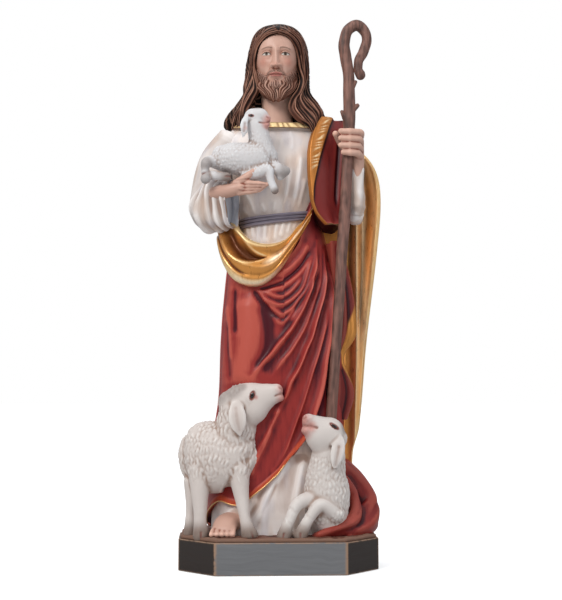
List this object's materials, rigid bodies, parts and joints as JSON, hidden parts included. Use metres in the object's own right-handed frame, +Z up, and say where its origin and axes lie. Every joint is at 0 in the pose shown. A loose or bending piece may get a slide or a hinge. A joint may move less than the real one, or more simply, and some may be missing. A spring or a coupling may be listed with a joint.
{
  "type": "carved shepherd statue",
  "caption": "Painted carved wooden statue of a robed shepherd with a crook and a lamb on the arm, sheep at the feet, on an octagonal plinth.",
  "frame": {"origin": "centre of the plinth's underside", "axes": "+Z up through the head, the figure faces -Y, the crook is on the +X side"},
  "size_m": [0.2195, 0.16, 0.598],
  "materials": {
    "painted_carving": "satin paint over carved wood",
    "crook_wood": "satin stained wood",
    "plinth_wood": "satin brushed paint"
  },
  "bodies": {
    "root": {"carved_group": "painted_carving", "crook": "crook_wood", "plinth": "plinth_wood"}
  },
  "joints": []
}
